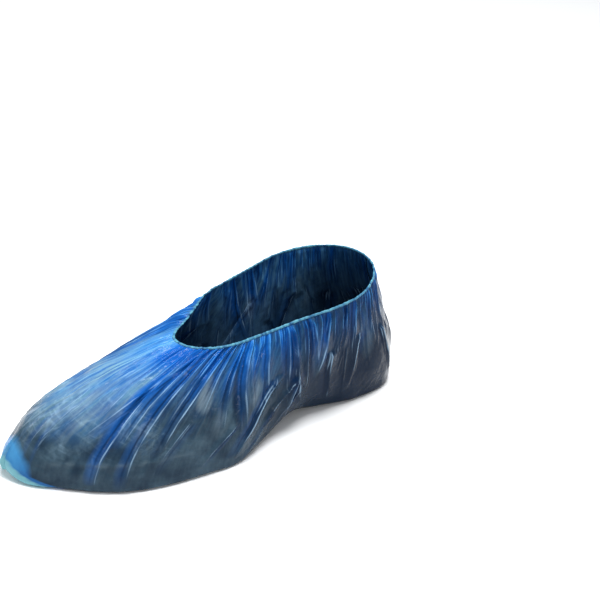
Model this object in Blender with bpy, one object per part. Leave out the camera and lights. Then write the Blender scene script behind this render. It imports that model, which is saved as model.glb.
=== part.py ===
"""Disposable shoe cover of thin blue film, standing as it is worn, open at the top.

One bag of film makes the upper and the sole. Its edge is rolled over an elastic that gathers the
opening, and the two ends of the bag are welded seams that finish in small corners.
"""
import math

import bmesh
import bpy
import numpy as np

# Driving sizes, in metres
COVER_LENGTH = 0.3035     # toe to heel along the floor, without the seam corners
COVER_WIDTH = 0.112       # across the ball of the foot
RIM_HEIGHT = 0.096        # floor to the edge of the film at the heel
FILM_WALL = 0.0012        # thickened from the real 0.04 mm film
PLEAT_DEPTH = 0.0062      # from ridge to valley, where the pleats are deepest
PLEAT_COUNT = 40          # round the whole opening
PLEAT_UNEVEN = 0.28       # share by which the shallowest pleats fall short of their neighbours
RIM_GATHER = 0.30         # share of a pleat's depth left where the elastic gathers the rim
GATHER_REACH = 0.16       # share of the film below the rim where a pleat grows to its full depth
HEM_WIDTH = 0.0022        # across the rolled edge
HEM_HEIGHT = 0.0030       # from its bottom to its top
HEM_CLEARANCE = 0.0005    # from the film's rim to the rolled edge
SEAM_WALL = 0.0010        # thickness of a welded end seam
SEAM_STAND = 0.0022       # how far a seam stands off the film
CORNER_STAND = 0.0046     # how far the corner of the bag stands off at the foot of a seam
SEAM_FLOOR_CLEARANCE = 0.0030
PIECE_GAP = 0.0003        # kept between neighbouring pieces

# Mesh counts
COLUMNS_PER_PLEAT = 4
SIDE_ROWS = 11            # from the sole edge up to the rim
SOLE_ROWS = 6             # across the sole
SOLE_END_COLUMNS = 4      # columns each side of the toe and the heel that one face takes in
HEM_SIDES = 6
SEAM_STEPS = 22

# Stations round the cover, from the toe along the near side to the heel and back on the far side.
# Lengths are shares: foot_x and rim_x of COVER_LENGTH from the toe, foot_y and rim_y of COVER_WIDTH
# from the middle, the heights foot_z, rim_z, rise and drop of RIM_HEIGHT. rise and flare say how the
# film leaves the floor, run (share of COVER_LENGTH) and drop how it comes to the rim. pleat is a share
# of PLEAT_DEPTH, and reach the share of the film from rim to floor that the pleats run down.
STATION_COLUMNS = ("foot_x", "foot_y", "foot_z", "rim_x", "rim_y", "rim_z",
                   "rise", "flare", "run", "drop", "pleat", "reach")
STATIONS = {
    "toe_prow":    (0.003, 0.145, 0.031, 0.397, 0.020, 0.792, 0.40, -0.02, 0.237, 0.21, 0.35, 0.45),
    "toe_near":    (0.026, -0.015, 0.000, 0.398, -0.030, 0.795, 0.44, 0.00, 0.224, 0.21, 0.40, 0.50),
    "near_toe":    (0.064, -0.150, 0.000, 0.405, -0.095, 0.800, 0.40, 0.03, 0.191, 0.20, 0.65, 0.75),
    "near_fore":   (0.130, -0.310, 0.000, 0.424, -0.175, 0.812, 0.35, 0.03, 0.151, 0.18, 0.90, 0.95),
    "near_tread":  (0.199, -0.416, 0.000, 0.460, -0.242, 0.823, 0.33, 0.03, 0.119, 0.18, 1.00, 1.00),
    "near_ball":   (0.282, -0.470, 0.000, 0.506, -0.273, 0.833, 0.33, 0.03, 0.092, 0.19, 1.00, 0.95),
    "near_joint":  (0.371, -0.488, 0.000, 0.548, -0.279, 0.844, 0.33, 0.03, 0.066, 0.23, 1.00, 0.85),
    "near_slack":  (0.456, -0.488, 0.000, 0.591, -0.282, 0.854, 0.31, 0.03, 0.046, 0.27, 1.00, 0.75),
    "near_shank":  (0.551, -0.371, 0.021, 0.654, -0.287, 0.875, 0.31, 0.04, 0.019, 0.31, 1.00, 0.80),
    "near_waist":  (0.644, -0.282, 0.094, 0.707, -0.300, 0.891, 0.29, 0.07, 0.006, 0.33, 1.00, 0.85),
    "near_breast": (0.717, -0.229, 0.031, 0.759, -0.309, 0.906, 0.31, 0.11, 0.000, 0.33, 0.90, 0.75),
    "near_heel":   (0.825, -0.255, 0.000, 0.825, -0.291, 0.927, 0.31, 0.05, 0.000, 0.33, 0.70, 0.50),
    "near_corner": (0.924, -0.229, 0.000, 0.878, -0.224, 0.958, 0.35, 0.04, 0.010, 0.31, 0.70, 0.45),
    "heel_near":   (0.981, -0.095, 0.000, 0.918, -0.104, 0.990, 0.38, 0.04, 0.016, 0.29, 0.70, 0.45),
    "heel_end":    (1.000, 0.066, 0.000, 0.934, 0.057, 1.000, 0.38, 0.04, 0.019, 0.29, 0.60, 0.45),
    "heel_far":    (0.981, 0.227, 0.000, 0.918, 0.218, 1.000, 0.38, 0.04, 0.016, 0.29, 0.70, 0.45),
    "far_corner":  (0.924, 0.334, 0.000, 0.875, 0.334, 0.990, 0.35, 0.04, 0.010, 0.31, 0.70, 0.45),
    "far_heel":    (0.815, 0.370, 0.000, 0.815, 0.396, 0.979, 0.31, 0.05, 0.003, 0.33, 0.70, 0.50),
    "far_breast":  (0.697, 0.334, 0.042, 0.749, 0.414, 0.958, 0.31, 0.07, 0.000, 0.33, 0.85, 0.70),
    "far_waist":   (0.598, 0.361, 0.063, 0.683, 0.414, 0.906, 0.29, 0.07, 0.006, 0.31, 0.90, 0.75),
    "far_shank":   (0.499, 0.432, 0.000, 0.614, 0.396, 0.865, 0.31, 0.04, 0.026, 0.27, 0.90, 0.75),
    "far_joint":   (0.390, 0.484, 0.000, 0.551, 0.368, 0.833, 0.31, 0.03, 0.066, 0.23, 0.85, 0.75),
    "far_ball":    (0.282, 0.495, 0.000, 0.503, 0.280, 0.813, 0.33, 0.03, 0.112, 0.19, 0.80, 0.70),
    "far_tread":   (0.176, 0.477, 0.000, 0.456, 0.182, 0.802, 0.35, 0.03, 0.158, 0.19, 0.70, 0.65),
    "far_toe":     (0.084, 0.414, 0.000, 0.421, 0.123, 0.795, 0.38, 0.03, 0.198, 0.20, 0.55, 0.55),
    "toe_far":     (0.022, 0.289, 0.010, 0.402, 0.066, 0.792, 0.42, 0.00, 0.224, 0.21, 0.40, 0.50),
}
LENGTH_COLUMNS = {"foot_x": COVER_LENGTH, "rim_x": COVER_LENGTH, "run": COVER_LENGTH,
                  "foot_y": COVER_WIDTH, "rim_y": COVER_WIDTH, "flare": COVER_WIDTH,
                  "foot_z": RIM_HEIGHT, "rim_z": RIM_HEIGHT, "rise": RIM_HEIGHT, "drop": RIM_HEIGHT,
                  "pleat": PLEAT_DEPTH, "reach": 1.0}
TOE_STATION = list(STATIONS).index("toe_prow")
HEEL_STATION = list(STATIONS).index("heel_end")

# Surface finishes: colour, roughness
FILM_FINISH = ((0.06, 0.28, 0.66), 0.25)
HEM_FINISH = ((0.35, 0.66, 0.75), 0.35)
SEAM_FINISH = ((0.22, 0.52, 0.72), 0.30)


def station_values():
    """Every station's columns as real lengths, one row for each station."""
    scale = np.array([LENGTH_COLUMNS[name] for name in STATION_COLUMNS])
    return np.array(list(STATIONS.values())) * scale


def closed_curve(rows, places):
    """A smooth closed curve through the rows; a place of 2.5 lies half way from row 2 to row 3."""
    whole = np.floor(places).astype(int)
    part = (places - whole)[:, None]
    before, start, end, after = (rows[(whole + step) % len(rows)] for step in (-1, 0, 1, 2))
    return 0.5 * (2 * start + (end - before) * part
                  + (2 * before - 5 * start + 4 * end - after) * part ** 2
                  + (3 * start - before - 3 * end + after) * part ** 3)


def even_places(first, last, count):
    """Places between two stations, spread evenly along the floor line and the rim line together."""
    fine = np.linspace(first, last, 1200)
    values = closed_curve(station_values(), fine)
    steps = np.diff(values, axis=0)
    foot = np.linalg.norm(steps[:, 0:3], axis=1)
    rim = np.linalg.norm(steps[:, 3:6], axis=1)
    travelled = np.concatenate([[0.0], np.cumsum(foot / foot.sum() + rim / rim.sum())])
    return np.interp(np.linspace(0, travelled[-1], count + 1)[:-1], travelled, fine)


def flat_outward(points, middle):
    """Level unit vectors square to a closed line of points, pointing away from its middle."""
    along = np.roll(points, -1, axis=0) - np.roll(points, 1, axis=0)
    outward = np.stack([along[:, 1], -along[:, 0], np.zeros(len(points))], axis=1)
    outward /= np.linalg.norm(outward, axis=1)[:, None]
    side = np.sign(np.median(np.sum((points - middle) * outward, axis=1)))
    return outward * side


def film_paths(places, rows):
    """Smooth film without pleats: one path from floor to rim for each place, evenly stepped."""
    values = closed_curve(station_values(), places)
    foot, rim = values[:, 0:3], values[:, 3:6]
    rise, flare, run, drop = (values[:, [column]] for column in range(6, 10))
    up = np.array([[0.0, 0.0, 1.0]])
    middle = foot.mean(axis=0)
    foot_out = flat_outward(foot, middle)
    reach = (foot - rim) * np.array([[1.0, 1.0, 0.0]])
    spread = np.linalg.norm(reach, axis=1)[:, None]
    towards_foot = np.clip(spread / COVER_WIDTH * 3 - 0.2, 0.0, 1.0)
    rim_out = towards_foot * reach / np.maximum(spread, PIECE_GAP)
    rim_out = rim_out + (1 - towards_foot) * flat_outward(rim, middle)
    rim_out /= np.linalg.norm(rim_out, axis=1)[:, None]
    lower = foot + foot_out * flare + up * rise
    upper = rim + rim_out * run - up * drop
    paths = []
    for corners in zip(foot, lower, upper, rim):
        share = np.linspace(0, 1, 120)[:, None]
        start, low, high, end = corners
        curve = (start * (1 - share) ** 3 + 3 * low * share * (1 - share) ** 2
                 + 3 * high * share ** 2 * (1 - share) + end * share ** 3)
        length = np.concatenate([[0.0], np.cumsum(np.linalg.norm(np.diff(curve, axis=0), axis=1))])
        even = np.linspace(0, length[-1], rows + 1)
        paths.append(np.stack([np.interp(even, length, curve[:, axis]) for axis in range(3)], axis=1))
    return np.array(paths)


def grid_normals(grid):
    """Outward normals of a closed band of paths."""
    around = np.roll(grid, -1, axis=0) - np.roll(grid, 1, axis=0)
    upward = np.gradient(grid, axis=1)
    normals = np.cross(around, upward)
    return normals / np.linalg.norm(normals, axis=2)[:, :, None]


def pleat_height(places, phases, rows):
    """How far the film stands off its smooth form: ridges and valleys that fade towards the floor."""
    values = closed_curve(station_values(), places)
    depth, reach = values[:, [10]], values[:, [11]]
    from_rim = 1 - np.linspace(0, 1, rows + 1)[None, :]
    ridge = np.cos(2 * math.pi * phases)[:, None]
    gathered = RIM_GATHER + (1 - RIM_GATHER) * np.clip(from_rim / GATHER_REACH, 0, 1)
    fade = np.clip(1 - from_rim / reach, 0, 1) ** 0.8
    uneven = 1 - PLEAT_UNEVEN * np.sin(2.4 * np.round(phases)[:, None]) ** 2
    return 0.5 * depth * ridge * uneven * gathered * fade


def finish(name, colour, roughness):
    material = bpy.data.materials.new(name)
    material.use_nodes = True
    shader = material.node_tree.nodes["Principled BSDF"]
    shader.inputs["Base Color"].default_value = (*colour, 1.0)
    shader.inputs["Roughness"].default_value = roughness
    shader.inputs["Metallic"].default_value = 0.0
    return material


def new_piece(name, points, faces, material):
    mesh = bpy.data.meshes.new(name)
    mesh.from_pydata([tuple(point) for point in points], [], faces)
    mesh.materials.append(material)
    piece = bpy.data.objects.new(name, mesh)
    bpy.context.collection.objects.link(piece)
    shape = bmesh.new()
    shape.from_mesh(mesh)
    bmesh.ops.recalc_face_normals(shape, faces=shape.faces)
    if shape.calc_volume(signed=True) < 0:
        bmesh.ops.reverse_faces(shape, faces=shape.faces)
    shape.to_mesh(mesh)
    shape.free()
    return piece


def cover_places():
    """Column places round the cover: as many from toe to heel as from heel to toe."""
    half = PLEAT_COUNT * COLUMNS_PER_PLEAT // 2
    near = even_places(TOE_STATION, HEEL_STATION, half)
    far = even_places(HEEL_STATION, len(STATIONS), half)
    return np.concatenate([near, far])


def pleated_sides(places):
    """The film's sides with their pleats: one path from floor to rim for each place."""
    sides = film_paths(places, SIDE_ROWS)
    phases = np.arange(len(places)) / COLUMNS_PER_PLEAT
    sides += grid_normals(sides) * pleat_height(places, phases, SIDE_ROWS)[:, :, None]
    sides[:, 0, 2] = np.maximum(sides[:, 0, 2], 0.0)
    return sides


def build_film_body():
    """The bag: pleated sides, a sole across the bottom, then a wall inwards."""
    sides = pleated_sides(cover_places())
    columns = len(sides)
    points = [point for path in sides for point in path]
    ring = SIDE_ROWS + 1
    faces = []
    for column in range(columns):
        following = (column + 1) % columns
        for row in range(SIDE_ROWS):
            faces.append((column * ring + row, following * ring + row,
                          following * ring + row + 1, column * ring + row + 1))
    half = columns // 2
    crossings = {}
    for column in range(SOLE_END_COLUMNS, half - SOLE_END_COLUMNS + 1):
        near, far = sides[column, 0], sides[columns - column, 0]
        line = [column * ring]
        for step in range(1, SOLE_ROWS):
            line.append(len(points))
            points.append(near + (far - near) * step / SOLE_ROWS)
        crossings[column] = line + [(columns - column) * ring]
    for column in list(crossings)[:-1]:
        for step in range(SOLE_ROWS):
            faces.append((crossings[column][step], crossings[column][step + 1],
                          crossings[column + 1][step + 1], crossings[column + 1][step]))
    for end, line in ((0, crossings[SOLE_END_COLUMNS]), (half, crossings[half - SOLE_END_COLUMNS][::-1])):
        tip = [(end + step) % columns * ring for step in range(-SOLE_END_COLUMNS, SOLE_END_COLUMNS + 1)]
        faces.append(tuple(tip + line[1:-1]))
    piece = new_piece("film_body", points, faces, finish("blue_film", *FILM_FINISH))
    wall = piece.modifiers.new("film_wall", "SOLIDIFY")
    wall.thickness = FILM_WALL
    wall.offset = -1.0
    wall.use_even_offset = False
    wall.use_rim = True
    return piece


def build_elastic_hem():
    """The rolled edge: a flattened ring that carries on from the film's gathered rim."""
    sides = pleated_sides(cover_places())
    normals = grid_normals(sides)[:, -1]
    rim = sides[:, -1]
    onward = np.cross(normals, np.roll(rim, -1, axis=0) - np.roll(rim, 1, axis=0))
    onward /= np.linalg.norm(onward, axis=1)[:, None]
    centre = rim - normals * FILM_WALL / 2 + onward * (HEM_CLEARANCE + HEM_HEIGHT / 2)
    points, faces = [], []
    for middle, out, up in zip(centre, normals, onward):
        for side in range(HEM_SIDES):
            turn = 2 * math.pi * (side + 0.5) / HEM_SIDES
            points.append(middle + out * HEM_WIDTH / 2 * math.cos(turn)
                          + up * HEM_HEIGHT / 2 * math.sin(turn))
    count = len(centre)
    for ring in range(count):
        for side in range(HEM_SIDES):
            beside, following = (side + 1) % HEM_SIDES, (ring + 1) % count
            faces.append((ring * HEM_SIDES + side, following * HEM_SIDES + side,
                          following * HEM_SIDES + beside, ring * HEM_SIDES + beside))
    return new_piece("elastic_hem", points, faces, finish("hem_film", *HEM_FINISH))


def build_end_seam(name, station):
    """A welded seam: a thin fin on the film from the rim down to the corner of the bag."""
    around = np.array([station - 0.02, station, station + 0.02]) % len(STATIONS)
    paths = film_paths(around, SEAM_STEPS)
    path = paths[1]
    across = paths[2] - paths[0]
    across /= np.linalg.norm(across, axis=1)[:, None]
    along = np.gradient(path, axis=0)
    normal = np.cross(across, along)
    normal /= np.linalg.norm(normal, axis=1)[:, None]
    ridge = pleat_height(around[1:2], np.zeros(1), SEAM_STEPS)[0]
    keep = path[:, 2] >= SEAM_FLOOR_CLEARANCE
    path, across, normal = path[keep], across[keep], normal[keep]
    lift = ridge[keep] + PIECE_GAP
    share = np.linspace(1, 0, len(path))[:, None]
    stand = SEAM_STAND + (CORNER_STAND - SEAM_STAND) * share ** 6
    points, faces = [], []
    for point, side, out, seat, height in zip(path, across, normal, lift, stand[:, 0]):
        for offset, level in ((-0.5, seat), (0.5, seat), (0.5, seat + height), (-0.5, seat + height)):
            points.append(point + side * SEAM_WALL * offset + out * level)
    last = len(path) - 1
    for step in range(last):
        for corner in range(4):
            beside = (corner + 1) % 4
            faces.append((step * 4 + corner, step * 4 + beside,
                          step * 4 + 4 + beside, step * 4 + 4 + corner))
    faces += [(3, 2, 1, 0), tuple(last * 4 + corner for corner in range(4))]
    return new_piece(name, points, faces, finish(name + "_weld", *SEAM_FINISH))


def stand_on_origin(pieces):
    """Moves the whole cover so that the middle of its box's bottom is the origin."""
    bpy.context.view_layer.update()
    graph = bpy.context.evaluated_depsgraph_get()
    corners = []
    for piece in pieces:
        shape = piece.evaluated_get(graph).to_mesh()
        corners += [tuple(vertex.co) for vertex in shape.vertices]
        piece.evaluated_get(graph).to_mesh_clear()
    corners = np.array(corners)
    low, high = corners.min(axis=0), corners.max(axis=0)
    for piece in pieces:
        piece.location = (-(low[0] + high[0]) / 2, -(low[1] + high[1]) / 2, -low[2])


def build_cover():
    for piece in list(bpy.data.objects):
        bpy.data.objects.remove(piece)
    pieces = [build_film_body(), build_elastic_hem(),
              build_end_seam("toe_seam", TOE_STATION), build_end_seam("heel_seam", HEEL_STATION)]
    stand_on_origin(pieces)


build_cover()
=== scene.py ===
"""Blue film shoe cover, standing empty in the shape it has when it is worn, on a pale floor."""
import math

import bmesh
import bpy
import numpy as np
from mathutils import Euler, Matrix, Vector, noise


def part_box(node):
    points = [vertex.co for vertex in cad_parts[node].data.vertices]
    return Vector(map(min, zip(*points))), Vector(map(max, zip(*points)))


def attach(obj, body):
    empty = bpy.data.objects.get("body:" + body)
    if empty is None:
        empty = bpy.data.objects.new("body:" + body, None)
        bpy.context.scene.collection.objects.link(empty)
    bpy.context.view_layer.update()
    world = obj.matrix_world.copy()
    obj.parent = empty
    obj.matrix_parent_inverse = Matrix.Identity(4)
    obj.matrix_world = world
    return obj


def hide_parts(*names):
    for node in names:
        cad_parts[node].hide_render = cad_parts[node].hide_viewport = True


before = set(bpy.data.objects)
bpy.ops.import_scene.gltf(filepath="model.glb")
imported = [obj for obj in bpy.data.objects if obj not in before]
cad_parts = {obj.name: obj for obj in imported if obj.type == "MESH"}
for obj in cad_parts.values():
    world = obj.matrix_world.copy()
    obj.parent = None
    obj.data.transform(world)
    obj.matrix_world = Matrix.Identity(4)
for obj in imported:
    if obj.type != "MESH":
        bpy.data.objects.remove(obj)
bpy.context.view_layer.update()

# Studio
# A plain pale floor in a bright even surrounding, lit by one broad light overhead and by three weak ones,
# in front, past the toe and behind. The camera looks down on the toe end of the near side.
CAMERA_PLACE = (-0.4886, -0.8094, 0.6327)
CAMERA_AZIMUTH = math.radians(-34.56)
CAMERA_ELEVATION = math.radians(29.39)
CAMERA_ROLL = math.radians(2.15)
CAMERA_LENS_MM = 95.0
CAMERA_SENSOR_MM = 36.0
LIGHTS = {
    # name: place, size and watts; each is aimed at the floor under the middle of the cover
    "overhead_light": ((0.15, -0.02, 1.30), 0.55, 24.0),
    "front_light": ((0.55, -1.10, 0.52), 0.22, 2.6),
    "toe_light": ((-1.15, 0.25, 0.75), 0.25, 1.8),
    "back_light": ((-0.55, 1.10, 0.52), 0.22, 3.5),
}
SURROUNDING_COLOUR = (0.96, 0.98, 1.0, 1.0)
SURROUNDING_STRENGTH = 0.42
FLOOR_SIZE = 14.0
FLOOR_COLOUR = (0.93, 0.94, 0.95, 1.0)
FLOOR_ROUGHNESS = 0.7

camera_data = bpy.data.cameras.new("camera")
camera_data.lens = CAMERA_LENS_MM
camera_data.sensor_width = CAMERA_SENSOR_MM
camera = bpy.data.objects.new("camera", camera_data)
bpy.context.scene.collection.objects.link(camera)
camera.location = CAMERA_PLACE
aimed = Euler((math.pi / 2 - CAMERA_ELEVATION, 0.0, CAMERA_AZIMUTH)).to_matrix()
camera.rotation_euler = (aimed @ Matrix.Rotation(CAMERA_ROLL, 3, "Z")).to_euler()
bpy.context.scene.camera = camera
bpy.context.scene.view_settings.view_transform = "Standard"

for light_name, (light_place, light_size, watts) in LIGHTS.items():
    light_data = bpy.data.lights.new(light_name, "AREA")
    light_data.size = light_size
    light_data.energy = watts
    light = bpy.data.objects.new(light_name, light_data)
    bpy.context.scene.collection.objects.link(light)
    light.location = light_place
    light.rotation_euler = Vector(light_place).to_track_quat("Z", "Y").to_euler()

world = bpy.data.worlds.new("surrounding")
world.use_nodes = True
background = world.node_tree.nodes["Background"]
background.inputs["Color"].default_value = SURROUNDING_COLOUR
background.inputs["Strength"].default_value = SURROUNDING_STRENGTH
bpy.context.scene.world = world

bpy.ops.object.select_all(action="DESELECT")
bpy.ops.mesh.primitive_plane_add(size=FLOOR_SIZE)
floor = bpy.context.object
floor.name = "floor"
floor_paint = bpy.data.materials.new("pale_floor")
floor_paint.use_nodes = True
floor_shader = floor_paint.node_tree.nodes["Principled BSDF"]
floor_shader.inputs["Base Color"].default_value = FLOOR_COLOUR
floor_shader.inputs["Roughness"].default_value = FLOOR_ROUGHNESS
floor.data.materials.append(floor_paint)

# Film body
# The real piece is one bag of thin embossed polyethylene film. As worn, it is taut over the toe and the
# heel, and the elastic gathers all its spare width into sharp pleats that fan out from the rim and die
# away towards the sole.
COVER_LENGTH = 0.3035
COVER_WIDTH = 0.112
RIM_HEIGHT = 0.096
COLUMNS = 1140
SIDE_ROWS = 72
SOLE_ROWS = 16
FINE_PLACES = 1200
FINE_STEPS = 160
FILM_SPREAD = (0.62, 0.16, 1.0)  # about how long the sides are round the cover, and how high, in metres
# Each station gives where the film meets the floor (base) and the rim, how far it rises and flares out
# from the floor, and how far it runs out and drops from the rim. All are shares of the cover's sizes.
STATION_COLUMNS = ("base_x", "base_y", "base_z", "rim_x", "rim_y", "rim_z",
                   "rise", "flare", "run", "drop")
STATIONS = {
    "toe_prow":    (0.003, 0.145, 0.031, 0.397, 0.020, 0.792, 0.40, -0.02, 0.237, 0.21),
    "toe_near":    (0.026, -0.015, 0.000, 0.398, -0.030, 0.795, 0.44, 0.00, 0.224, 0.21),
    "near_toe":    (0.064, -0.150, 0.000, 0.405, -0.095, 0.800, 0.40, 0.03, 0.191, 0.20),
    "near_fore":   (0.130, -0.310, 0.000, 0.424, -0.175, 0.812, 0.35, 0.03, 0.151, 0.18),
    "near_tread":  (0.199, -0.416, 0.000, 0.460, -0.242, 0.823, 0.33, 0.03, 0.119, 0.18),
    "near_ball":   (0.282, -0.470, 0.000, 0.506, -0.273, 0.833, 0.33, 0.03, 0.092, 0.19),
    "near_joint":  (0.371, -0.488, 0.000, 0.548, -0.279, 0.844, 0.33, 0.03, 0.066, 0.23),
    "near_slack":  (0.456, -0.488, 0.000, 0.591, -0.282, 0.854, 0.31, 0.03, 0.046, 0.27),
    "near_shank":  (0.551, -0.371, 0.021, 0.654, -0.287, 0.875, 0.31, 0.04, 0.019, 0.31),
    "near_waist":  (0.644, -0.282, 0.094, 0.707, -0.300, 0.891, 0.29, 0.07, 0.006, 0.33),
    "near_breast": (0.717, -0.229, 0.031, 0.759, -0.309, 0.906, 0.31, 0.11, 0.000, 0.33),
    "near_heel":   (0.825, -0.255, 0.000, 0.825, -0.291, 0.927, 0.31, 0.05, 0.000, 0.33),
    "near_corner": (0.924, -0.229, 0.000, 0.878, -0.224, 0.958, 0.35, 0.04, 0.010, 0.31),
    "heel_near":   (0.981, -0.095, 0.000, 0.918, -0.104, 0.990, 0.38, 0.04, 0.016, 0.29),
    "heel_end":    (1.000, 0.066, 0.000, 0.934, 0.057, 1.000, 0.38, 0.04, 0.019, 0.29),
    "heel_far":    (0.981, 0.227, 0.000, 0.918, 0.218, 1.000, 0.38, 0.04, 0.016, 0.29),
    "far_corner":  (0.924, 0.334, 0.000, 0.875, 0.334, 0.990, 0.35, 0.04, 0.010, 0.31),
    "far_heel":    (0.815, 0.370, 0.000, 0.815, 0.396, 0.979, 0.31, 0.05, 0.003, 0.33),
    "far_breast":  (0.697, 0.334, 0.042, 0.749, 0.414, 0.958, 0.31, 0.07, 0.000, 0.33),
    "far_waist":   (0.598, 0.361, 0.063, 0.683, 0.414, 0.906, 0.29, 0.07, 0.006, 0.31),
    "far_shank":   (0.499, 0.432, 0.000, 0.614, 0.396, 0.865, 0.31, 0.04, 0.026, 0.27),
    "far_joint":   (0.390, 0.484, 0.000, 0.551, 0.368, 0.833, 0.31, 0.03, 0.066, 0.23),
    "far_ball":    (0.282, 0.495, 0.000, 0.503, 0.280, 0.813, 0.33, 0.03, 0.112, 0.19),
    "far_tread":   (0.176, 0.477, 0.000, 0.456, 0.182, 0.802, 0.35, 0.03, 0.158, 0.19),
    "far_toe":     (0.084, 0.414, 0.000, 0.421, 0.123, 0.795, 0.38, 0.03, 0.198, 0.20),
    "toe_far":     (0.022, 0.289, 0.010, 0.402, 0.066, 0.792, 0.42, 0.00, 0.224, 0.21),
}
STATION_SCALES = {"base_x": COVER_LENGTH, "rim_x": COVER_LENGTH, "run": COVER_LENGTH,
                  "base_y": COVER_WIDTH, "rim_y": COVER_WIDTH, "flare": COVER_WIDTH,
                  "base_z": RIM_HEIGHT, "rim_z": RIM_HEIGHT, "rise": RIM_HEIGHT, "drop": RIM_HEIGHT}
HEEL_STATION = list(STATIONS).index("heel_end")
stations = np.array(list(STATIONS.values())) * [STATION_SCALES[name] for name in STATION_COLUMNS]


def closed_curve(rows, places):
    """A smooth closed curve through the rows; a place of 2.5 lies half way from row 2 to row 3."""
    whole = np.floor(places).astype(int)
    part = (places - whole)[:, None]
    before, start, end, after = (rows[(whole + step) % len(rows)] for step in (-1, 0, 1, 2))
    return 0.5 * (2 * start + (end - before) * part
                  + (2 * before - 5 * start + 4 * end - after) * part ** 2
                  + (3 * start - before - 3 * end + after) * part ** 3)


def even_places(first, last, count):
    """Places between two stations, spread evenly along the floor line and the rim line together."""
    fine = np.linspace(first, last, FINE_PLACES)
    steps = np.diff(closed_curve(stations, fine), axis=0)
    base = np.linalg.norm(steps[:, 0:3], axis=1)
    rim = np.linalg.norm(steps[:, 3:6], axis=1)
    travelled = np.concatenate([[0.0], np.cumsum(base / base.sum() + rim / rim.sum())])
    return np.interp(np.linspace(0, travelled[-1], count + 1)[:-1], travelled, fine)


def flat_outward(points, middle):
    """Level unit vectors square to a closed line of points, pointing away from its middle."""
    along = np.roll(points, -1, axis=0) - np.roll(points, 1, axis=0)
    outward = np.stack([along[:, 1], -along[:, 0], np.zeros(len(points))], axis=1)
    outward /= np.linalg.norm(outward, axis=1)[:, None]
    return outward * np.sign(np.median(np.sum((points - middle) * outward, axis=1)))


def film_paths(places, rows):
    """The taut film without folds: one path from floor to rim for each place, evenly stepped."""
    values = closed_curve(stations, places)
    base, rim = values[:, 0:3], values[:, 3:6]
    rise, flare, run, drop = (values[:, [column]] for column in range(6, 10))
    up = np.array([[0.0, 0.0, 1.0]])
    reach = (base - rim) * np.array([[1.0, 1.0, 0.0]])
    spread = np.linalg.norm(reach, axis=1)[:, None]
    # The film leaves the rim towards its base, or square to the rim where it hangs nearly upright.
    towards_base = np.clip(spread / COVER_WIDTH * 3 - 0.2, 0.0, 1.0)
    rim_out = towards_base * reach / np.maximum(spread, 0.0003)
    rim_out = rim_out + (1 - towards_base) * flat_outward(rim, base.mean(axis=0))
    rim_out /= np.linalg.norm(rim_out, axis=1)[:, None]
    lower = base + flat_outward(base, base.mean(axis=0)) * flare + up * rise
    upper = rim + rim_out * run - up * drop
    share = np.linspace(0, 1, FINE_STEPS)[:, None]
    paths = []
    for start, low, high, end in zip(base, lower, upper, rim):
        curve = (start * (1 - share) ** 3 + 3 * low * share * (1 - share) ** 2
                 + 3 * high * share ** 2 * (1 - share) + end * share ** 3)
        length = np.concatenate([[0.0], np.cumsum(np.linalg.norm(np.diff(curve, axis=0), axis=1))])
        even = np.linspace(0, length[-1], rows + 1)
        paths.append(np.stack([np.interp(even, length, curve[:, axis]) for axis in range(3)], axis=1))
    return np.array(paths)


def grid_normals(grid):
    """Outward unit normals of a closed band of paths."""
    around = np.roll(grid, -1, axis=0) - np.roll(grid, 1, axis=0)
    normals = np.cross(around, np.gradient(grid, axis=1))
    return normals / np.linalg.norm(normals, axis=2)[:, :, None]


def waves(points, size, seed):
    """Smooth noise from about -1 to 1 at each point, with lumps of the given size."""
    shift = Vector((seed * 7.31, seed * 3.17, seed * 5.71))
    flat = points.reshape(-1, 3) / size
    values = [noise.noise(Vector(point) + shift) for point in flat]
    return np.array(values).reshape(points.shape[:-1])


def facets(points, size, seed):
    """Crumpled film: flat facets from 0 to about 1 that meet in straight creases of the given spacing."""
    shift = Vector((seed * 5.3, seed * 2.9, seed * 8.1))
    flat = points.reshape(-1, 3) / size
    nearest = [noise.voronoi(Vector(point) + shift)[0][:2] for point in flat]
    return np.array([second - first for first, second in nearest]).reshape(points.shape[:-1])


half = COLUMNS // 2
places = np.concatenate([even_places(0, HEEL_STATION, half),
                         even_places(HEEL_STATION, len(STATIONS), half)])
sides = film_paths(places, SIDE_ROWS)
toe_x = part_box("film_body")[0][0]
sides[:, :, 0] += toe_x - sides[:, :, 0].min()
taut_sides = sides.copy()

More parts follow.
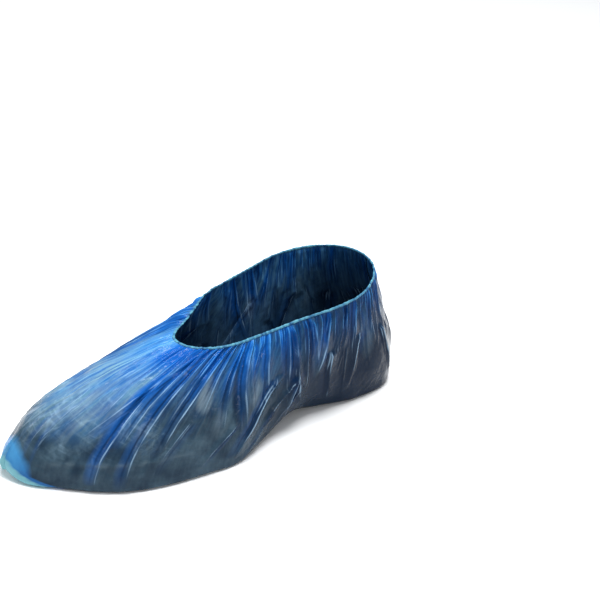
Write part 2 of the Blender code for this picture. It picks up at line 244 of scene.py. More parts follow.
# Main folds, listed one by one. Places are shares of the way round the cover (0 at the toe, 0.5 at the
# heel), and top and bottom are shares of the film's height below the rim. A fold's steep side is 1, the
# side further round, or -1, the side nearer the start.
FOLD_COLUMNS = ("starts_at", "ends_at", "top", "bottom", "height", "width", "side")
MAIN_FOLDS = [
    (0.002, 0.006, 0.00, 0.45, 0.0010, 0.0060, 1),
    (0.016, 0.015, 0.00, 0.56, 0.0013, 0.0070, -1),
    (0.031, 0.027, 0.00, 0.52, 0.0016, 0.0070, 1),
    (0.046, 0.048, 0.00, 0.64, 0.0026, 0.0075, -1),
    (0.060, 0.059, 0.00, 0.44, 0.0020, 0.0060, 1),
    (0.073, 0.073, 0.00, 0.96, 0.0050, 0.0085, -1),
    (0.088, 0.083, 0.00, 0.74, 0.0034, 0.0070, -1),
    (0.102, 0.100, 0.00, 0.98, 0.0048, 0.0080, -1),
    (0.112, 0.117, 0.00, 0.58, 0.0032, 0.0060, 1),
    (0.129, 0.125, 0.00, 0.80, 0.0042, 0.0075, -1),
    (0.140, 0.150, 0.05, 0.58, 0.0028, 0.0060, -1),
    (0.150, 0.169, 0.00, 0.58, 0.0036, 0.0070, 1),
    (0.156, 0.183, 0.02, 0.68, 0.0034, 0.0070, -1),
    (0.170, 0.213, 0.00, 0.73, 0.0044, 0.0080, -1),
    (0.180, 0.217, 0.06, 0.62, 0.0030, 0.0065, 1),
    (0.190, 0.199, 0.00, 0.32, 0.0034, 0.0060, 1),
    (0.203, 0.236, 0.00, 0.52, 0.0034, 0.0070, -1),
    (0.222, 0.246, 0.00, 0.38, 0.0030, 0.0065, 1),
    (0.238, 0.272, 0.00, 0.58, 0.0034, 0.0070, -1),
    (0.248, 0.310, 0.02, 0.92, 0.0050, 0.0085, -1),
    (0.273, 0.309, 0.02, 0.73, 0.0042, 0.0080, 1),
    (0.289, 0.320, 0.04, 0.55, 0.0032, 0.0070, -1),
    (0.318, 0.322, 0.00, 0.60, 0.0046, 0.0070, -1),
    (0.345, 0.350, 0.00, 0.30, 0.0034, 0.0070, 1),
    (0.372, 0.377, 0.00, 0.42, 0.0038, 0.0080, -1),
    (0.405, 0.403, 0.00, 0.28, 0.0030, 0.0070, 1),
    (0.440, 0.437, 0.00, 0.38, 0.0034, 0.0075, -1),
    (0.472, 0.471, 0.00, 0.32, 0.0028, 0.0070, 1),
]
# Slacker folds that run across the others, low on the waist, the tread and the heel.
CROSS_FOLDS = [
    (0.196, 0.170, 0.66, 0.93, 0.0022, 0.0050, 1),
    (0.280, 0.233, 0.58, 0.88, 0.0034, 0.0065, 1),
    (0.262, 0.222, 0.72, 0.97, 0.0026, 0.0055, -1),
    (0.300, 0.268, 0.72, 0.95, 0.0022, 0.0050, 1),
    (0.242, 0.206, 0.42, 0.92, 0.0040, 0.0100, -1),
    (0.283, 0.288, 0.52, 0.96, 0.0040, 0.0080, 1),
    (0.140, 0.124, 0.58, 0.92, 0.0015, 0.0080, 1),
    (0.335, 0.352, 0.40, 0.90, 0.0032, 0.0080, -1),
    (0.385, 0.372, 0.34, 0.84, 0.0028, 0.0070, 1),
    (0.430, 0.442, 0.40, 0.92, 0.0028, 0.0080, -1),
    (0.535, 0.520, 0.40, 0.90, 0.0028, 0.0080, 1),
    (0.575, 0.592, 0.46, 0.93, 0.0032, 0.0080, -1),
    (0.625, 0.655, 0.42, 0.86, 0.0026, 0.0090, 1),
    (0.665, 0.645, 0.60, 0.95, 0.0020, 0.0070, -1),
    (0.700, 0.735, 0.34, 0.80, 0.0026, 0.0090, -1),
    (0.760, 0.738, 0.64, 0.96, 0.0018, 0.0070, 1),
    (0.780, 0.812, 0.42, 0.88, 0.0026, 0.0090, 1),
    (0.842, 0.858, 0.50, 0.95, 0.0032, 0.0080, -1),
    (0.885, 0.893, 0.46, 0.90, 0.0030, 0.0080, 1),
    (0.722, 0.712, 0.58, 0.86, 0.0015, 0.0060, -1),
]
# Two folds that cross the top of the toe.
VAMP_FOLDS = [
    (0.090, 0.046, 0.00, 0.70, 0.0044, 0.0090, 1),
    (0.002, 0.026, 0.06, 0.60, 0.0020, 0.0080, 1),
]
SMALL_PLEATS = 112
TENSION_LINES = 240
TOE_FOLDS_UP_TO = 0.085
FAR_TOE_HEIGHT = 0.45
random = np.random.default_rng(11)
folds = [dict(zip(FOLD_COLUMNS, row)) for row in MAIN_FOLDS + CROSS_FOLDS]
# The far side has folds like those of the near side, lower over the toe.
for row in MAIN_FOLDS[2:-1]:
    mirrored = dict(zip(FOLD_COLUMNS, row))
    shift = random.uniform(-0.004, 0.004)
    mirrored["starts_at"] = 1 - mirrored["starts_at"] + shift
    mirrored["ends_at"] = 1 - mirrored["ends_at"] + shift
    mirrored["bottom"] *= random.uniform(0.75, 1.0)
    mirrored["side"] *= -1
    if row[0] < TOE_FOLDS_UP_TO:
        mirrored["height"] *= FAR_TOE_HEIGHT
    folds.append(mirrored)
# A smaller and shorter fold runs beside each.
for fold in list(folds):
    beside = dict(fold)
    step = fold["side"] * random.uniform(0.0035, 0.0055)
    part = random.uniform(0.4, 0.85)
    beside.update(starts_at=fold["starts_at"] + 0.5 * step,
                  ends_at=fold["starts_at"] + (fold["ends_at"] - fold["starts_at"]) * part + step,
                  bottom=fold["top"] + (fold["bottom"] - fold["top"]) * part,
                  height=fold["height"] * random.uniform(0.45, 0.7), width=fold["width"] * 0.5)
    folds.append(beside)
LEAN_PLACES = (0.00, 0.05, 0.13, 0.15, 0.17, 0.25, 0.28, 0.33, 0.50)
LEANS = (0.004, 0.000, -0.004, 0.030, 0.055, 0.062, 0.045, 0.008, 0.000)


def lean_at(place):
    """How far round the cover a fold that starts here would lean on its way from the rim to the floor."""
    return float(np.interp(min(place % 1, -place % 1), LEAN_PLACES, LEANS)) * (1 if place % 1 < 0.5 else -1)


# Small pleats all the way round under the rim, lower over the toe.
for step in range(SMALL_PLEATS):
    start = (step + random.uniform(-0.45, 0.45)) / SMALL_PLEATS
    calm = 1 - 0.72 * math.exp(-(min(start % 1, -start % 1) / 0.045) ** 2)
    reach = 0.10 + 0.42 * random.uniform(0, 1) ** 2
    lean = lean_at(start) + random.uniform(-0.012, 0.012)
    folds.append({"starts_at": start, "ends_at": start + lean * reach, "top": 0.0, "bottom": reach,
                  "height": calm * random.uniform(0.0016, 0.0036), "width": random.uniform(0.0026, 0.0050),
                  "side": int(random.choice((-1, 1)))})
# Fine tension lines all over, one in four of them near the toe.
for step in range(TENSION_LINES):
    start = random.uniform(0, 1)
    if step % 4 == 0:
        start = random.uniform(-0.06, 0.05)
    top = random.uniform(0.0, 0.55)
    bottom = min(0.98, top + random.uniform(0.15, 0.5))
    folds.append({"starts_at": start + lean_at(start) * top,
                  "ends_at": start + lean_at(start) * bottom + random.uniform(-0.010, 0.010),
                  "top": top, "bottom": bottom, "height": random.uniform(0.0005, 0.0014),
                  "width": random.uniform(0.0018, 0.0040), "side": int(random.choice((-1, 1)))})
folds += [dict(zip(FOLD_COLUMNS, row)) for row in VAMP_FOLDS]

# A fold is a ridge with one gentle side and one steep side. It is narrow at the rim and widens below it.
# Its crest is painted with a pale highlight, and the gully below its steep side is darkened with painted
# shade. The first six values are shares of a fold's width or of the film's height, and the last four are in
# metres.
WIDTH_AT_RIM = 0.42
WIDTH_GAINED = 0.78
WIDENS_DOWN_TO = 0.35
STEEP_SIDE = 0.36
BUNCHED_MIDDLE = 0.40
BUNCHED_REACH = 0.58
BUNCHED_HEIGHT = 0.0032
MARKED_HEIGHT = 0.0024
CREST_WIDTH = 0.00050
GULLY_WIDTH = 0.0008
around = np.arange(COLUMNS)[:, None] / COLUMNS
down = 1 - np.linspace(0, 1, SIDE_ROWS + 1)[None, :]
from_toe = np.minimum(around, 1 - around)
spacing = np.linalg.norm(np.roll(sides, -1, axis=0) - np.roll(sides, 1, axis=0), axis=2) / 2 * COLUMNS
drift = 0.0026 * waves(sides, 0.040, 1) + 0.0006 * waves(sides, 0.010, 7)
drift = drift * np.clip(down * 3, 0, 1)
# Painted crest highlights come and go along each crest with this noise.
glint = 0.80 + 0.9 * waves(sides, 0.012, 8)
relief, bunched, crest_highlight, gully_shade = (np.zeros((COLUMNS, SIDE_ROWS + 1)) for _ in range(4))
for fold in folds:
    length = fold["bottom"] - fold["top"]
    turned = fold["ends_at"] - fold["starts_at"]
    way_down = (down - fold["top"]) / length
    line = fold["starts_at"] + turned * way_down
    apart = ((around + drift - line + 0.5) % 1 - 0.5) * spacing * fold["side"]
    width = fold["width"] * (WIDTH_AT_RIM + WIDTH_GAINED * np.clip(down / WIDENS_DOWN_TO, 0, 1))
    profile = np.where(apart > 0, 1 - apart / (STEEP_SIDE * width), 1 + apart / width)
    fade = np.clip(1 - way_down, 0, 1) ** 0.6 * np.clip(way_down * length / 0.05 + 0.4, 0, 1)
    tall = fold["height"] * fade
    relief = np.maximum(relief, tall * np.clip(profile, 0, 1) ** 1.35)
    band = 1 - np.abs(apart - BUNCHED_MIDDLE * width) / (BUNCHED_REACH * width)
    bunched = np.maximum(bunched, np.clip(band, 0, 1) ** 0.6 * np.clip(tall / BUNCHED_HEIGHT, 0, 1))
    marked = np.clip(tall / MARKED_HEIGHT, 0, 1) ** 0.7
    crest_width = np.hypot(CREST_WIDTH, 0.5 * turned / length * spacing / SIDE_ROWS)
    crest_highlight = np.maximum(crest_highlight, np.exp(-(apart / crest_width) ** 2) * marked)
    in_gully = np.exp(-((apart - STEEP_SIDE * width) / GULLY_WIDTH) ** 2)
    gully_shade = np.maximum(gully_shade, in_gully * marked)
# Painted crest highlights fade out over the front of the toe, high under the rim.
over_front = np.clip(1.6 - from_toe / 0.07, 0, 1)
crest_highlight *= np.clip(glint, 0, 1) * (1 - 0.92 * over_front * np.clip(1.0 - down / 0.22, 0, 1))

# Between the folds the film is slack and crumpled into small facets, most of all over the toe and low on
# the sides. A soft line runs along the toe's near side, where the film is drawn over a hard edge: a low
# ridge with a painted highlight.
HEM_HOLDS_DOWN_TO = 0.065
TOE_CAP_LENGTH = 0.085
RIM_DRAWN_IN = 0.0012
EDGE_LINE_PLACES = (0.017, 0.057, 0.091, 0.142)
EDGE_LINE_DEPTHS = (0.88, 0.84, 0.82, 0.79)
EDGE_LINE_RELIEF = 0.0005
EDGE_LINE_HIGHLIGHT = 0.42
relief *= 0.40 + 0.60 * np.clip(down / HEM_HOLDS_DOWN_TO, 0, 1)
slack = waves(sides, 0.034, 2) * 0.0016 + waves(sides, 0.016, 3) * 0.0006
crumple = facets(sides, 0.018, 4) * 0.0011 + facets(sides, 0.009, 5) * 0.0003
toe_cap = np.clip(1 - (sides[:, :, 0] - toe_x) / TOE_CAP_LENGTH, 0, 1) * np.clip(down * 3 - 1, 0, 1)
low_side = np.clip(down * 2.4 - 1.2, 0, 1)
steady = np.clip(down / 0.03, 0, 1) * np.clip((1 - down) / 0.08, 0, 1)
relief += (slack - crumple * np.clip(0.45 + 0.50 * low_side + toe_cap, 0, 1.2)) * steady
relief -= RIM_DRAWN_IN * np.clip(1 - down / 0.6, 0, 1)
edge_depth = np.interp(around, EDGE_LINE_PLACES, EDGE_LINE_DEPTHS)
edge_line = np.exp(-((down - edge_depth) / 0.012) ** 2) * np.clip(around / 0.03 - 0.6, 0, 1)
edge_line = edge_line * np.clip((0.17 - around) / 0.04, 0, 1)
relief += EDGE_LINE_RELIEF * edge_line
sides = sides + grid_normals(sides) * relief[:, :, None]

# The bag's corner stands out in front of the toe, the toe spreads by the floor, and the film turns in
# round the edge of the sole.
SOLE_ROUNDING = 0.0030
FLOOR_GAP = 0.0003
TOE_CORNER_STAND = 0.0054
TOE_SPLAY = 0.0038
sides[:, :, 0] -= (TOE_CORNER_STAND * np.exp(-(np.minimum(around / 0.020, (1 - around) / 0.011)) ** 2)
                   * np.clip((down - 0.52) / 0.42, 0, 1) * np.clip((1.04 - down) / 0.10, 0, 1))
base_out = flat_outward(taut_sides[:, 0], taut_sides[:, 0].mean(axis=0))
in_rounding = np.clip(SOLE_ROUNDING - (sides[:, :, 2] - sides[:, :1, 2]), 0, None)
tuck = SOLE_ROUNDING - np.sqrt(np.maximum(SOLE_ROUNDING ** 2 - in_rounding ** 2, 0))
toe_splay = TOE_SPLAY * np.exp(-((from_toe - 0.020) / 0.018) ** 2) * np.clip((down - 0.84) / 0.15, 0, 1)
sides = sides + base_out[:, None, :] * (toe_splay - tuck)[:, :, None]
sides[:, :, 2] = np.maximum(sides[:, :, 2], FLOOR_GAP)

# The sides are one closed band, and the sole closes it from the near side to the far side.
SOLE_LIFT = 0.0007
ring = SIDE_ROWS + 1
film_points = [tuple(point) for path in sides for point in path]
film_faces = []
for column in range(COLUMNS):
    following = (column + 1) % COLUMNS
    for row in range(SIDE_ROWS):
        film_faces.append((column * ring + row, following * ring + row,
                           following * ring + row + 1, column * ring + row + 1))
crossings = {0: [0] * (SOLE_ROWS + 1), half: [half * ring] * (SOLE_ROWS + 1)}
for column in range(1, half):
    near, far = sides[column, 0], sides[COLUMNS - column, 0]
    crossing = [column * ring]
    for step in range(1, SOLE_ROWS):
        point = near + (far - near) * step / SOLE_ROWS
        lift = max(0.0, noise.noise(Vector((point[0] * 60, point[1] * 40, 3.0)))) * SOLE_LIFT
        crossing.append(len(film_points))
        film_points.append((point[0], point[1], max(FLOOR_GAP, point[2]) + lift))
    crossings[column] = crossing + [(COLUMNS - column) * ring]
for column in range(half):
    for step in range(SOLE_ROWS):
        corners = (crossings[column][step], crossings[column][step + 1],
                   crossings[column + 1][step + 1], crossings[column + 1][step])
        film_faces.append(tuple(dict.fromkeys(corners)))


def cover_piece(name, points, faces):
    """A piece of the cover with its place in its mesh and its faces pointing outwards."""
    mesh = bpy.data.meshes.new(name)
    mesh.from_pydata(points, [], faces)
    shape = bmesh.new()
    shape.from_mesh(mesh)
    bmesh.ops.recalc_face_normals(shape, faces=shape.faces)
    shape.to_mesh(mesh)
    shape.free()
    piece = bpy.data.objects.new(name, mesh)
    bpy.context.scene.collection.objects.link(piece)
    return piece


def corner_points(piece):
    """The number of the point at each corner of each face of a piece."""
    numbers = np.zeros(len(piece.data.loops), dtype=int)
    piece.data.loops.foreach_get("vertex_index", numbers)
    return numbers


def mark_film(piece, look, place):
    """Keeps four values of look and four of place at each point of a piece, for its material.

    Look is how bunched the film is, its painted crest highlights (1) and gully shade (0), how low on the
    side it lies, and how near it is to the toe's end. Place is how crinkled it is, how far below the rim,
    how far over the toe, and whether it takes painted shade (1) or painted reflection (0); each pair meets
    at 0.5.
    """
    for layer, values in (("film_look", look), ("film_place", place)):
        colours = piece.data.color_attributes.new(layer, "FLOAT_COLOR", "POINT")
        colours.data.foreach_set("color", values.ravel())


film = cover_piece("film_bag", film_points, film_faces)
film.data.shade_smooth()

# Where the film is drawn together, where it lies low, and where it folds over the toe's end.
TOE_END_SIZE = 0.046
TOE_HEM_FROM = 0.87
over_toe = np.clip(1.35 - from_toe / 0.085, 0, 1)
far_side = np.clip((around - 0.52) / 0.10, 0, 1) * np.clip((0.95 - around) / 0.08, 0, 1)
over_toe = np.maximum(over_toe, 0.45 * far_side * np.clip(1.1 - down, 0, 1))
toe_end = np.linalg.norm(sides - sides[0, 0], axis=2) * (1 + 0.20 * waves(sides, 0.017, 15))
toe_hem = np.clip((down - TOE_HEM_FROM - 2.0 * from_toe) / 0.05, 0, 1)
toe_end = np.maximum(np.clip(1 - toe_end / TOE_END_SIZE, 0, 1), 0.90 * toe_hem)
toe_front = np.clip(1.25 - (sides[:, :, 0] - toe_x) / TOE_CAP_LENGTH, 0, 1)
crinkled = toe_front * np.clip(down * 4 - 1, 0, 1) * np.clip((0.84 - down) / 0.18, 0, 1)
drawn_in = np.clip(1.70 - down / 0.16, 0, 1)
drawn_in = drawn_in * np.clip(around / 0.015 - 0.8, 0, 1) * np.clip(2 - around / 0.07, 0, 1)
bunched = np.maximum(bunched, drawn_in)
low_on_toe, low_on_side = np.clip((down - 0.56) / 0.22, 0, 1), np.clip((down - 0.12) / 0.45, 0, 1)
sunk = (over_toe * low_on_toe + (1 - over_toe) * low_on_side) * (1 - 0.50 * far_side)
gully_shade *= 1 - 0.75 * np.clip(2 * over_toe - 0.9, 0, 1)
# Crests painted as highlights raise this above 0.5, and gullies painted as shade take it below.
crest_light_and_gully_shade = 0.5 + 0.5 * (crest_highlight - gully_shade * (1 - crest_highlight))
# Patches of pale painted reflection and of dark painted shade on the sides.
# Each patch: middle round the cover and below the rim, half its width and length, lean, and how strong its
# painted reflection is, or below zero how dark its painted shade is.
REFLECTION_AND_SHADE_PATCHES = [
    (0.020, 0.60, 0.050, 0.17, 0.00, 0.50),
    (0.096, 0.63, 0.010, 0.12, 0.00, 0.45),
    (0.141, 0.38, 0.011, 0.17, 0.06, 0.85),
    (0.176, 0.62, 0.010, 0.13, 0.05, 0.45),
    (0.212, 0.46, 0.012, 0.19, 0.06, 0.65),
    (0.312, 0.36, 0.012, 0.25, 0.03, 0.95),
    (0.286, 0.76, 0.004, 0.17, 0.01, 0.90),
    (0.400, 0.40, 0.016, 0.22, 0.00, 0.45),
    (0.610, 0.45, 0.016, 0.22, -0.03, 0.60),
    (0.700, 0.42, 0.013, 0.20, -0.05, 0.60),
    (0.810, 0.50, 0.013, 0.20, -0.05, 0.60),
    (0.560, 0.60, 0.012, 0.22, 0.02, 0.45),
    (0.755, 0.72, 0.014, 0.14, -0.05, 0.50),
    (0.870, 0.66, 0.012, 0.20, -0.03, 0.50),
    (0.182, 0.42, 0.005, 0.40, 0.07, -0.75),
    (0.228, 0.62, 0.007, 0.26, -0.07, -0.80),
    (0.262, 0.40, 0.006, 0.34, 0.04, -0.70),
    (0.120, 0.75, 0.006, 0.20, 0.00, -0.50),
    (0.060, 0.74, 0.006, 0.20, -0.02, -0.55),
    (0.068, 0.54, 0.0045, 0.28, 0.00, -0.60),
    (0.760, 0.50, 0.006, 0.34, -0.05, -0.60),
    (0.655, 0.50, 0.007, 0.30, -0.04, -0.60),
]
# Painted shade darkens the near waist and heel as a whole: places round the cover, and how dark each is.
PAINTED_SHADE_PLACES = (0.0, 0.215, 0.26, 0.36, 0.44, 0.50, 1.0)
PAINTED_SHADE_DEPTHS = (0.0, 0.0, 0.70, 1.00, 1.00, 0.40, 0.0)
shade = np.interp(around, PAINTED_SHADE_PLACES, PAINTED_SHADE_DEPTHS) * np.clip(0.52 + 0.8 * down, 0, 1)
ragged = 1 + 0.5 * waves(sides, 0.011, 14)
# Each patch lightens the film towards painted reflection or darkens it with painted shade.
for middle, depth, half_width, half_length, lean, strength in REFLECTION_AND_SHADE_PATCHES:
    off = (around - middle - lean * (down - depth)) / half_width
    inside = np.clip(ragged - off ** 2 - ((down - depth) / half_length) ** 2, 0, 1) ** 0.8
    shade = shade * (1 - inside * abs(strength)) - inside * strength * np.clip(1 - shade, 0.35, 1)
# The soft line over the toe's edge takes a pale painted highlight.
shade = shade - EDGE_LINE_HIGHLIGHT * edge_line

# The sole's own points come after those of the sides, and share one plain look.
SOLE_LOOK = (0.0, 0.5, 1.0, 0.0)
SOLE_PLACE = (0.0, 1.0, 0.0, 0.5)
side_points = COLUMNS * ring
sole_points = len(film_points) - side_points
side_look = np.stack(np.broadcast_arrays(bunched, crest_light_and_gully_shade, sunk, toe_end), axis=2)
side_place = np.stack(np.broadcast_arrays(crinkled, down, over_toe, 0.5 + 0.5 * shade), axis=2)
mark_film(film, np.concatenate([side_look.reshape(-1, 4), np.tile(SOLE_LOOK, (sole_points, 1))]),
          np.concatenate([side_place.reshape(-1, 4), np.tile(SOLE_PLACE, (sole_points, 1))]))
film_corners = corner_points(film)
corner_around = np.where(film_corners < side_points, film_corners // ring, 0) / COLUMNS
corner_down = np.where(film_corners < side_points, 1 - film_corners % ring / SIDE_ROWS, 1.0)
first_corner = np.repeat([polygon.loop_start for polygon in film.data.polygons],
                         [polygon.loop_total for polygon in film.data.polygons])
wrapped = (corner_around == 0) & (corner_around[first_corner] > 0.9)
corner_around = np.where(wrapped, 1.0, corner_around)
film_grain = np.stack([corner_around, corner_down], axis=1)
film.data.uv_layers.new(name="film_grain").data.foreach_set("uv", film_grain.ravel())

FILM_IOR = 1.48
FILM_SPECULAR = 0.10
FILM_ROUGHNESS = 0.17
STREAK_SCALE = (230.0, 5.0, 1.0)
# Three runs of wrinkles: turn in degrees, and how fine they are across and along their own direction.
WRINKLE_RUNS = ((-24, 250.0, 45.0), (18, 330.0, 50.0), (62, 300.0, 80.0))


def film_finish(name, colours, roughness):
    """Thin blown film: grey low on the sides, deep where it is bunched, with painted highlights along its
    sharp crests, painted shade in its gullies and hollows, and painted reflection in hazy patches.
    """
    material = bpy.data.materials.new(name)
    material.use_nodes = True
    nodes, links = material.node_tree.nodes, material.node_tree.links
    shader = nodes["Principled BSDF"]
    shader.inputs["IOR"].default_value = FILM_IOR
    shader.inputs["Specular IOR Level"].default_value = FILM_SPECULAR

    def texture(kind, coordinates, scale, **settings):
        node = nodes.new(kind)
        node.inputs["Scale"].default_value = scale
        for setting, value in settings.items():
            if setting == "feature":
                node.feature = value
            else:
                node.inputs[setting].default_value = value
        links.new(coordinates, node.inputs["Vector"])
        return node

    def scaled(value, low, high, start=0.0, end=1.0):
        span = nodes.new("ShaderNodeMapRange")
        span.inputs["From Min"].default_value = low
        span.inputs["From Max"].default_value = high
        span.inputs["To Min"].default_value = start
        span.inputs["To Max"].default_value = end
        links.new(value, span.inputs["Value"])
        return span.outputs["Result"]

    def times(first, second):
        product = nodes.new("ShaderNodeMath")
        product.operation = "MULTIPLY"
        links.new(first, product.inputs[0])
        links.new(second, product.inputs[1])
        return product.outputs["Value"]

    def blend(share, below, above):
        mix = nodes.new("ShaderNodeMix")
        mix.data_type = "RGBA"
        links.new(share, mix.inputs["Factor"])
        first, second = (socket for socket in mix.inputs if socket.type == "RGBA")
        for socket, value in ((first, below), (second, above)):
            if isinstance(value, bpy.types.NodeSocket):
                links.new(value, socket)
            else:
                socket.default_value = (*value, 1.0)
        return next(socket for socket in mix.outputs if socket.type == "RGBA")

    def attribute(layer):
        node = nodes.new("ShaderNodeVertexColor")
        node.layer_name = layer
        split = nodes.new("ShaderNodeSeparateColor")
        links.new(node.outputs["Color"], split.inputs["Color"])
        return (*split.outputs, node.outputs["Alpha"])

    def combed(turn, across, along):
        """Places on the film in metres, turned, then drawn out along the second direction."""
        laid, drawn = nodes.new("ShaderNodeMapping"), nodes.new("ShaderNodeMapping")
        laid.inputs["Scale"].default_value = FILM_SPREAD
        laid.inputs["Rotation"].default_value = (0.0, 0.0, turn)
        drawn.inputs["Scale"].default_value = (across, along, 1.0)
        links.new(grain_map.outputs["UV"], laid.inputs["Vector"])
        links.new(laid.outputs["Vector"], drawn.inputs["Vector"])
        return drawn.outputs["Vector"]

    gathers, crest, sunk, toe_end = attribute("film_look")
    crinkled, below_rim, over_toe, shaded = attribute("film_place")
    place = nodes.new("ShaderNodeTexCoord").outputs["Object"]
    grain_map = nodes.new("ShaderNodeUVMap")
    grain_map.uv_map = "film_grain"
    stretch = nodes.new("ShaderNodeMapping")
    stretch.inputs["Scale"].default_value = STREAK_SCALE
    links.new(grain_map.outputs["UV"], stretch.inputs["Vector"])

    cloud = texture("ShaderNodeTexNoise", place, 55.0, Detail=5.0).outputs["Fac"]
    streak = texture("ShaderNodeTexNoise", stretch.outputs["Vector"], 1.0, Detail=4.0).outputs["Fac"]
    facet = texture("ShaderNodeTexVoronoi", place, 120.0, feature="DISTANCE_TO_EDGE").outputs["Distance"]
    broad = texture("ShaderNodeTexNoise", combed(0.0, 150.0, 22.0), 1.0, Detail=3.0).outputs["Fac"]
    wrinkles = [texture("ShaderNodeTexNoise", combed(math.radians(turn), across, along), 1.0,
                        Detail=2.5, Distortion=0.4).outputs["Fac"]
                for turn, across, along in WRINKLE_RUNS]

    # The grain runs down from the rim and turns cloudy below. The top of the toe is pale, and brightest
    # under the rim, and the film is grey low down.
    grain = blend(scaled(below_rim, 0.15, 0.70, 0.0, 0.75), streak, cloud)
    side = blend(scaled(grain, 0.35, 0.68), colours["navy"], colours["side"])
    vamp = blend(scaled(grain, 0.40, 0.60), colours["film"], colours["pale"])
    # Lower on the toe, pale painted reflection lies over the film in broad streaks.
    vamp_reflection = times(scaled(below_rim, 0.15, 0.45, 0.0, 0.45), scaled(broad, 0.35, 0.60))
    vamp = blend(vamp_reflection, vamp, colours["painted_reflection"])
    vamp = blend(scaled(below_rim, 0.30, 0.04, 0.0, 0.50), vamp, colours["bright"])
    upper = blend(over_toe, side, vamp)
    lower = blend(scaled(grain, 0.34, 0.64), colours["dark"], colours["slate"])
    body = blend(sunk, upper, lower)
    # Bunched film is a strong blue over the toe and under the rim, and navy low on the sides.
    darkened = times(scaled(below_rim, 0.12, 0.46), scaled(over_toe, 0.15, 0.55, 1.0, 0.15))
    deep = blend(darkened, colours["deep"], colours["navy"])
    body = blend(scaled(gathers, 0.05, 0.85, 0.0, 0.96), body, deep)
    # Where the film is marked hazy, it takes pale painted reflection.
    reflected_tone = blend(scaled(broad, 0.40, 0.62), colours["slate"], colours["painted_reflection"])
    body = blend(scaled(shaded, 0.5, 0.0, 0.0, 0.80), body, reflected_tone)
    # Fine wrinkles cross each other, most of all on the crinkled toe, each painted pale as a highlight on
    # one side and darker as shade on the other.
    patchy = times(scaled(cloud, 0.36, 0.62), scaled(crinkled, 0.0, 1.0, 0.10, 1.0))
    for wrinkle in wrinkles:
        body = blend(times(scaled(wrinkle, 0.53, 0.72, 0.0, 0.22), patchy), body, colours["crest"])
        body = blend(times(scaled(wrinkle, 0.48, 0.28, 0.0, 0.22), patchy), body, colours["film"])
    # The toe's end is clear blue and then aqua, where the film hangs free in front.
    toe_edge = times(scaled(toe_end, 0.46, 0.58), scaled(cloud, 0.20, 0.50, 0.75, 1.0))
    body = blend(toe_edge, body, blend(scaled(cloud, 0.35, 0.65), colours["film"], colours["toe"]))
    body = blend(scaled(toe_end, 0.74, 0.96), body, colours["aqua"])
    # Painted shade over the near waist and heel and in the gullies, then painted highlights along the
    # crests over all.
    body = blend(scaled(shaded, 0.5, 1.0, 0.0, 0.93), body, colours["painted_shade"])
    body = blend(scaled(crest, 0.45, 0.05, 0.0, 0.70), body, colours["painted_shade"])
    sharp = blend(scaled(below_rim, 0.10, 0.45), colours["bright"], colours["crest"])
    body = blend(scaled(crest, 0.60, 1.0, 0.0, 0.74), body, sharp)
    links.new(body, shader.inputs["Base Color"])
    links.new(scaled(cloud, 0.3, 0.7, roughness - 0.04, roughness + 0.06), shader.inputs["Roughness"])

    normal = None
    for height, strength, distance in ((streak, 0.22, 0.0006), (facet, 0.24, 0.0012),
                                       *((wrinkle, 0.46, 0.0005) for wrinkle in wrinkles)):
        bump = nodes.new("ShaderNodeBump")
        bump.inputs["Strength"].default_value = strength
        bump.inputs["Distance"].default_value = distance
        links.new(height, bump.inputs["Height"])
        if normal:
            links.new(normal, bump.inputs["Normal"])
        normal = bump.outputs["Normal"]
    links.new(normal, shader.inputs["Normal"])
    return material


# The pale crest colour is painted highlight, the darkest colour painted shade, and the pale grey one
# painted reflection.
FILM_COLOURS = {
    "film": (0.018, 0.126, 0.360),
    "pale": (0.155, 0.335, 0.465),
    "side": (0.028, 0.118, 0.270),
    "navy": (0.005, 0.036, 0.120),
    "slate": (0.044, 0.080, 0.110),
    "dark": (0.010, 0.025, 0.047),
    "painted_shade": (0.002, 0.009, 0.026),
    "deep": (0.002, 0.098, 0.430),
    "toe": (0.060, 0.260, 0.520),
    "aqua": (0.230, 0.520, 0.520),
    "crest": (0.400, 0.620, 0.840),
    "bright": (0.060, 0.310, 0.740),
    "painted_reflection": (0.165, 0.225, 0.265),
}
film.data.materials.append(film_finish("blue_film", FILM_COLOURS, FILM_ROUGHNESS))
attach(film, "root")
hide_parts("film_body")

# Elastic hem
# The real edge is the film's own margin rolled over a thin elastic thread and welded. The thread draws it
# in, so the roll is narrow and puckered all the way round, with painted highlights on the puckers and
# painted shade between them.
HEM_WIDTH = 0.0013
HEM_HEIGHT = 0.0019
HEM_SIDES = 8
HEM_LIFT = 0.22
PUCKER_SWELL = 0.15
HEM_ROUGHNESS = 0.35
HEM_PLACE = (0.0, 0.0, 1.0, 0.5)
HEM_COLOURS = dict(FILM_COLOURS, film=(0.04, 0.18, 0.30), pale=(0.13, 0.34, 0.42), deep=(0.01, 0.08, 0.22),
                   bright=(0.12, 0.36, 0.46))
edge = sides[:, -1]
edge = (edge + np.roll(edge, 1, axis=0) + np.roll(edge, -1, axis=0)) / 3
edge_along = np.roll(edge, -1, axis=0) - np.roll(edge, 1, axis=0)
edge_along /= np.linalg.norm(edge_along, axis=1)[:, None]
edge_up = taut_sides[:, -1] - taut_sides[:, -3]
edge_up -= edge_along * np.sum(edge_up * edge_along, axis=1)[:, None]
edge_up /= np.linalg.norm(edge_up, axis=1)[:, None]
edge_out = np.cross(edge_along, edge_up)
pucker = waves(edge, 0.0016, 9) + 0.8 * waves(edge, 0.0034, 10)
swell = 1 + 0.22 * waves(edge, 0.010, 11) + PUCKER_SWELL * pucker
hem_points, hem_faces = [], []
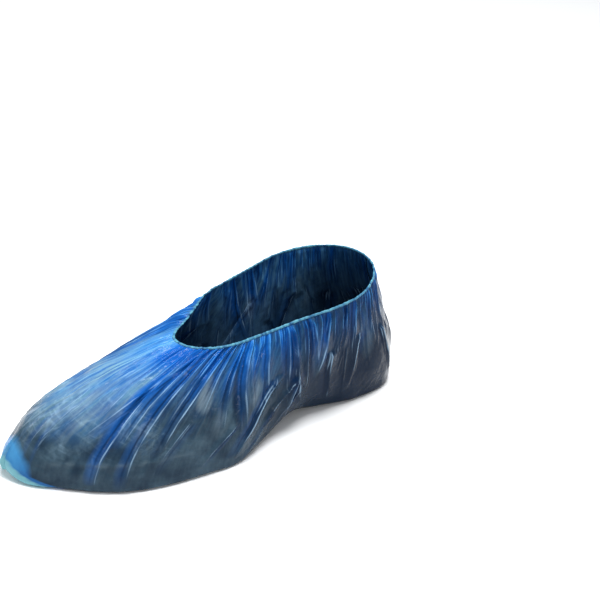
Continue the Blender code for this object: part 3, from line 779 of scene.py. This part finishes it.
for column in range(COLUMNS):
    following = (column + 1) % COLUMNS
    centre = edge[column] + edge_up[column] * HEM_HEIGHT * HEM_LIFT
    for side in range(HEM_SIDES):
        turn = 2 * math.pi * side / HEM_SIDES
        hem_points.append(centre + edge_out[column] * math.cos(turn) * HEM_WIDTH / 2 * swell[column]
                          + edge_up[column] * math.sin(turn) * HEM_HEIGHT / 2 * swell[column])
        beside = (side + 1) % HEM_SIDES
        hem_faces.append((column * HEM_SIDES + side, following * HEM_SIDES + side,
                          following * HEM_SIDES + beside, column * HEM_SIDES + beside))
hem = cover_piece("rolled_edge", [tuple(point) for point in hem_points], hem_faces)
hem.data.shade_smooth()
# Each pucker takes a painted highlight, and deep blue and painted shade lie between them.
hem_bunched = np.clip(0.40 - 0.45 * pucker, 0, 1)
hem_light_and_shade = np.clip(0.56 + 0.30 * pucker, 0, 1)
hem_look = np.stack([hem_bunched, hem_light_and_shade, np.zeros(COLUMNS), np.zeros(COLUMNS)], axis=1)
mark_film(hem, np.repeat(hem_look, HEM_SIDES, axis=0), np.tile(HEM_PLACE, (len(hem_points), 1)))
hem.data.materials.append(film_finish("hem_film", HEM_COLOURS, HEM_ROUGHNESS))
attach(hem, "root")
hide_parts("elastic_hem")

# Seams
# The real bag is welded shut up its toe end and its heel end. Each weld is a thin line of fused film that
# stands a little off the surface, furthest at the corner of the bag by the floor.
SEAM_STAND = 0.0002
CORNER_STAND = 0.0030
SEAM_THICKNESS = 0.0006
SEAM_FLOOR_GAP = 0.0040
SEAM_SMOOTHED_OVER = 9
SEAM_SUNK = 0.0004
SEAM_ROUGHNESS = 0.3
# Half a weld's width in its own thicknesses, where it joins the film and at its crest.
SEAM_JOIN = 2.5
SEAM_CREST = 0.35
SEAM_COLOURS = dict(FILM_COLOURS, film=FILM_COLOURS["pale"], dark=FILM_COLOURS["slate"])
for seam_name, column, seam_node in (("toe_weld", 0, "toe_seam"), ("heel_weld", half, "heel_seam")):
    line = sides[column][sides[column][:, 2] > SEAM_FLOOR_GAP]
    first = SIDE_ROWS + 1 - len(line)
    normals = np.pad(grid_normals(sides)[column][first:], ((SEAM_SMOOTHED_OVER // 2,) * 2, (0, 0)), "edge")
    evened = np.ones(SEAM_SMOOTHED_OVER) / SEAM_SMOOTHED_OVER
    normals = np.stack([np.convolve(normals[:, axis], evened, "valid") for axis in range(3)], axis=1)
    across = np.cross(normals, np.gradient(line, axis=0))
    across /= np.linalg.norm(across, axis=1)[:, None]
    seam_down = down[0, first:]
    by_floor = np.clip((seam_down - 0.55) / 0.39, 0, 1) ** 3 * np.clip((1.04 - seam_down) / 0.10, 0, 1)
    stand = SEAM_STAND + (CORNER_STAND - SEAM_STAND) * by_floor + 0.0001 * waves(line, 0.004, 12)
    seam_points, seam_faces = [], []
    for point, out, aside, high in zip(line, normals, across, stand):
        for offset, level in ((-SEAM_JOIN, -SEAM_SUNK), (SEAM_JOIN, -SEAM_SUNK),
                              (SEAM_CREST, high), (-SEAM_CREST, high)):
            seam_points.append(tuple(point + aside * SEAM_THICKNESS * offset + out * level))
    last = len(line) - 1
    for step in range(last):
        for corner in range(4):
            beside = (corner + 1) % 4
            seam_faces.append((step * 4 + corner, step * 4 + beside,
                               step * 4 + 4 + beside, step * 4 + 4 + corner))
    seam_faces += [(3, 2, 1, 0), tuple(last * 4 + corner for corner in range(4))]
    seam = cover_piece(seam_name, seam_points, seam_faces)
    mark_film(seam, *(np.repeat(values[column, first:], 4, axis=0) for values in (side_look, side_place)))
    seam_corners = corner_points(seam)
    seam_around = np.full(len(seam_corners), column / COLUMNS)
    seam_grain = np.stack([seam_around, seam_down[seam_corners // 4]], axis=1)
    seam.data.uv_layers.new(name="film_grain").data.foreach_set("uv", seam_grain.ravel())
    seam.data.materials.append(film_finish(seam_name, SEAM_COLOURS, SEAM_ROUGHNESS))
    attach(seam, "root")
    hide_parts(seam_node)
